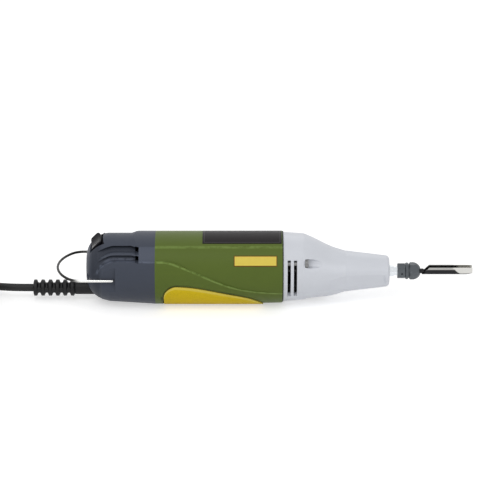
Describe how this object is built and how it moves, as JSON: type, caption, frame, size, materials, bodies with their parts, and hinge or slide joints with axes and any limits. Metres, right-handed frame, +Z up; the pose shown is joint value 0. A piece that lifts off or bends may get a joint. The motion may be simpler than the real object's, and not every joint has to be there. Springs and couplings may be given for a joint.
{
  "type": "power carving chisel",
  "caption": "Slim hand-held mains carving chisel with a barrel grip, die-cast nose, collet-held U gouge, rocker switch, wire hanging bail and a coiled two-pin lead.",
  "frame": {"origin": "on the flat strip the tool rests on, under the middle of the motor barrel", "axes": "+X runs forward along the tool to the gouge, +Z up from the rest strip to the switch side, +Y to the left; the nameplate is on the -Y side"},
  "size_m": [0.4277, 0.0842, 0.0498],
  "materials": {
    "olive_shell": "semi-gloss",
    "slate_shell": "satin",
    "yellow_grip": "satin",
    "yellow_plate": "satin",
    "dark_plate": "satin",
    "cast_alloy": "satin, fine cast grain",
    "dark_seal": "matte",
    "black_rubber": "satin",
    "black_plastic": "gloss",
    "bright_steel": "polished",
    "screw_steel": "zinc plated",
    "dark_steel": "blued",
    "blade_steel": "blackened with a ground edge",
    "laminated_steel": "varnished",
    "copper_parts": "enamelled copper",
    "brass_parts": "satin",
    "carbon_parts": "matte",
    "spring_parts": "satin",
    "buffer": "matte",
    "yellow_case": "gloss"
  },
  "bodies": {
    "tool": {"air_baffle": "black_plastic", "bearing_bridge": "black_plastic", "brush_holders": "brass_parts", "brush_ring": "black_plastic", "brush_springs": "spring_parts", "buffer_washer": "buffer", "cap_screws": "screw_steel", "capacitor": "yellow_case", "carbon_brushes": "carbon_parts", "clamp_screws": "screw_steel", "cord_clamp": "black_plastic", "cord_coil": "black_rubber", "cord_lead": "black_rubber", "cord_tail": "black_rubber", "cup_bearing": "bright_steel", "field_coils": "copper_parts", "front_bearing": "bright_steel", "front_bearing_plate": "cast_alloy", "front_bush": "brass_parts", "gear_head": "cast_alloy", "grip_insert_left": "yellow_grip", "grip_insert_right": "yellow_grip", "guide_pin": "bright_steel", "head_gasket": "dark_seal", "head_screws": "screw_steel", "inner_cord": "black_rubber", "motor_housing": "olive_shell", "nameplate": "yellow_plate", "plug_body": "black_plastic", "plug_pins": "bright_steel", "rating_label": "dark_plate", "rear_bearing": "bright_steel", "rear_bush": "brass_parts", "rear_cap": "slate_shell", "return_spring": "bright_steel", "stator_core": "laminated_steel", "strain_relief": "black_rubber", "switch_body": "black_plastic"},
    "armature": {"armature_core": "laminated_steel", "armature_winding": "copper_parts", "armature_shaft": "bright_steel", "commutator": "copper_parts", "cooling_fan": "black_plastic", "motor_pinion": "dark_steel"},
    "cup": {"drive_cup": "dark_steel", "cam_ring": "dark_steel"},
    "spindle": {"spindle": "bright_steel", "striker": "dark_steel", "chuck_body": "dark_steel", "collet": "dark_steel", "gouge_blade": "blade_steel"},
    "nut": {"collet_nut": "dark_steel"},
    "switch": {"switch_rocker": "black_plastic"},
    "bail": {"hanging_bail": "bright_steel"}
  },
  "joints": [
    {"name": "armature_spin", "type": "hinge", "parent": "tool", "child": "armature", "pos_m": [0, 0, 0.02453], "axis": [1, 0, 0], "continuous": true},
    {"name": "cup_spin", "type": "hinge", "parent": "tool", "child": "cup", "pos_m": [0, 0, 0.02103], "axis": [1, 0, 0], "continuous": true},
    {"name": "spindle_slide", "type": "slide", "parent": "tool", "child": "spindle", "axis": [-1, 0, 0], "range_m": [0, 0.002], "stiffness_N_per_m": 1500, "springref_m": -0.003, "deforming": ["return_spring"]},
    {"name": "nut_turn", "type": "hinge", "parent": "spindle", "child": "nut", "pos_m": [0, 0, 0.02103], "axis": [1, 0, 0], "range_deg": [0, 120]},
    {"name": "switch_tilt", "type": "hinge", "parent": "tool", "child": "switch", "pos_m": [-0.08148, 0, 0.04081], "axis": [-0.7071, 0, -0.7071], "range_deg": [0, 14]},
    {"name": "bail_swing", "type": "hinge", "parent": "tool", "child": "bail", "pos_m": [-0.0721, 0, 0.02453], "axis": [0, 1, 0], "range_deg": [-8, 90]}
  ],
  "couplings": [
    {"joint": "cup_spin", "follows": "armature_spin", "ratio": 0.46154}
  ]
}
